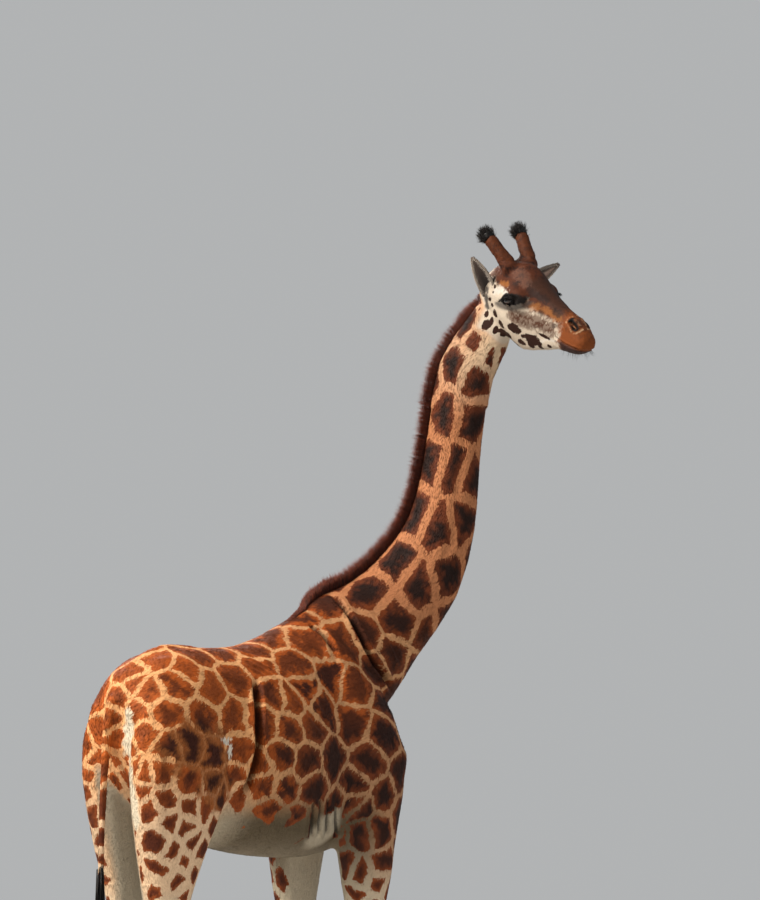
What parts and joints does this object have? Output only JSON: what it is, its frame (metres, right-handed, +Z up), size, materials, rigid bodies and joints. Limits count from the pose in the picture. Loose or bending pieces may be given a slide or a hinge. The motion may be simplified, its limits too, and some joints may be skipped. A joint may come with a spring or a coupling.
{
  "type": "giraffe",
  "caption": "Still life-size model of a standing Rothschild's giraffe cow looking over her right shoulder.",
  "frame": {"origin": "on the floor under the middle of the whole animal's box", "axes": "+Z up; the body faces -Y with its left side toward +X, and the head is turned toward -X"},
  "size_m": [1.4069, 2.3706, 4.5582],
  "materials": {
    "coat": "short_fur",
    "tuft_hair": "coarse_hair",
    "mane_hair": "coarse_hair",
    "ear_skin": "short_fur",
    "eye": "wet",
    "hoof_horn": "horn"
  },
  "bodies": {
    "root": {"foreleg_right": "coat", "foreleg_left": "coat", "hindleg_right": "coat", "hindleg_left": "coat", "trunk": "coat", "neck": "coat", "head": "coat", "eye_left": "eye", "ossicone_left": "coat", "ossicone_tuft_left": "tuft_hair", "ear_left": "ear_skin", "eye_right": "eye", "ossicone_right": "coat", "ossicone_tuft_right": "tuft_hair", "ear_right": "ear_skin", "mane": "mane_hair", "tail": "coat", "tail_tassel": "tuft_hair", "hoof_fore_right_outer": "hoof_horn", "hoof_fore_right_inner": "hoof_horn", "hoof_fore_left_outer": "hoof_horn", "hoof_fore_left_inner": "hoof_horn", "hoof_hind_right_outer": "hoof_horn", "hoof_hind_right_inner": "hoof_horn", "hoof_hind_left_outer": "hoof_horn", "hoof_hind_left_inner": "hoof_horn"}
  },
  "joints": []
}
